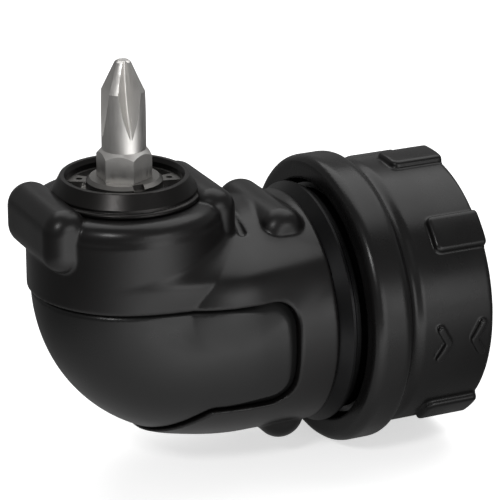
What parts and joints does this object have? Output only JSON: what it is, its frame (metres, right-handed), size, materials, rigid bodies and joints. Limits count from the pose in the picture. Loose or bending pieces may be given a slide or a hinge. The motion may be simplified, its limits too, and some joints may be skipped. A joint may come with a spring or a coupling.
{
  "type": "right angle drill attachment",
  "caption": "Right angle attachment with a twist release collar: turns a drill's hex drive through a bevel gear pair to a magnetic bit spindle at 90 degrees.",
  "frame": {"origin": "centre of the drive mouth, at the rear end of the mounting sleeve", "axes": "+X out of the mouth towards the drill, +Z along the screwdriver bit"},
  "size_m": [0.0593, 0.0394, 0.0569],
  "materials": {
    "cover_rubber": "satin moulded soft rubber",
    "guard_nylon": "satin moulded nylon",
    "collar_nylon": "satin moulded nylon",
    "cast_alloy": "black painted die casting",
    "black_steel": "black oxide turned steel",
    "bearing_steel": "ground steel",
    "gear_steel": "hardened steel, grey",
    "bit_steel": "hardened steel, grey",
    "bush_bronze": "sintered bronze",
    "magnet_nickel": "nickel plated magnet",
    "screw_zinc": "zinc plated steel",
    "spring_steel": "ground steel",
    "seal_rubber": "satin moulded soft rubber"
  },
  "bodies": {
    "housing": {"rubber_cover": "cover_rubber", "elbow_guard": "guard_nylon", "gear_case_left": "cast_alloy", "gear_case_right": "cast_alloy", "case_screws": "screw_zinc", "nose_sleeve": "black_steel", "retaining_ring": "black_steel", "spindle_bearing_outer_ring": "bearing_steel", "spindle_bearing_balls": "bearing_steel", "spindle_bearing_seal": "seal_rubber", "spindle_bush": "bush_bronze", "shaft_bearing_outer_ring": "bearing_steel", "shaft_bearing_balls": "bearing_steel", "rear_bush": "bush_bronze", "mounting_sleeve": "black_steel", "sleeve_screws": "screw_zinc", "front_ring": "black_steel", "collar_spring": "spring_steel", "collar_snap_ring": "spring_steel"},
    "drive_shaft": {"drive_shaft": "gear_steel", "pinion": "gear_steel", "shaft_clip": "spring_steel", "shaft_bearing_inner_ring": "bearing_steel"},
    "spindle": {"spindle": "black_steel", "output_gear": "gear_steel", "bit_magnet": "magnet_nickel", "spindle_bearing_inner_ring": "bearing_steel"},
    "bit": {"screwdriver_bit": "bit_steel"},
    "release_collar": {"release_collar": "collar_nylon"},
    "lock_ball_1": {"lock_ball_1": "bearing_steel"},
    "lock_ball_2": {"lock_ball_2": "bearing_steel"},
    "lock_ball_3": {"lock_ball_3": "bearing_steel"}
  },
  "joints": [
    {"name": "drive_shaft_spin", "type": "hinge", "parent": "housing", "child": "drive_shaft", "pos_m": [-0.03, 0, 0], "axis": [1, 0, 0], "continuous": true},
    {"name": "spindle_spin", "type": "hinge", "parent": "housing", "child": "spindle", "pos_m": [-0.0454, 0, 0.015], "axis": [0, 0, 1], "continuous": true},
    {"name": "bit_pull", "type": "slide", "parent": "spindle", "child": "bit", "axis": [0, 0, 1], "range_m": [0, 0.012]},
    {"name": "collar_twist", "type": "hinge", "parent": "housing", "child": "release_collar", "pos_m": [-0.009, 0, 0], "axis": [1, 0, 0], "range_deg": [0, 30], "stiffness_Nm_per_rad": 0.05, "springref_deg": -11.46},
    {"name": "lock_ball_1_slide", "type": "slide", "parent": "housing", "child": "lock_ball_1", "axis": [0, -0.866, 0.5], "range_m": [0, 0.0012]},
    {"name": "lock_ball_2_slide", "type": "slide", "parent": "housing", "child": "lock_ball_2", "axis": [0, 0, -1], "range_m": [0, 0.0012]},
    {"name": "lock_ball_3_slide", "type": "slide", "parent": "housing", "child": "lock_ball_3", "axis": [0, 0.866, 0.5], "range_m": [0, 0.0012]}
  ],
  "couplings": [
    {"joint": "spindle_spin", "follows": "drive_shaft_spin", "ratio": -1},
    {"joint": "lock_ball_1_slide", "follows": "collar_twist", "m_per_rad": 0.0022918},
    {"joint": "lock_ball_2_slide", "follows": "collar_twist", "m_per_rad": 0.0022918},
    {"joint": "lock_ball_3_slide", "follows": "collar_twist", "m_per_rad": 0.0022918}
  ]
}
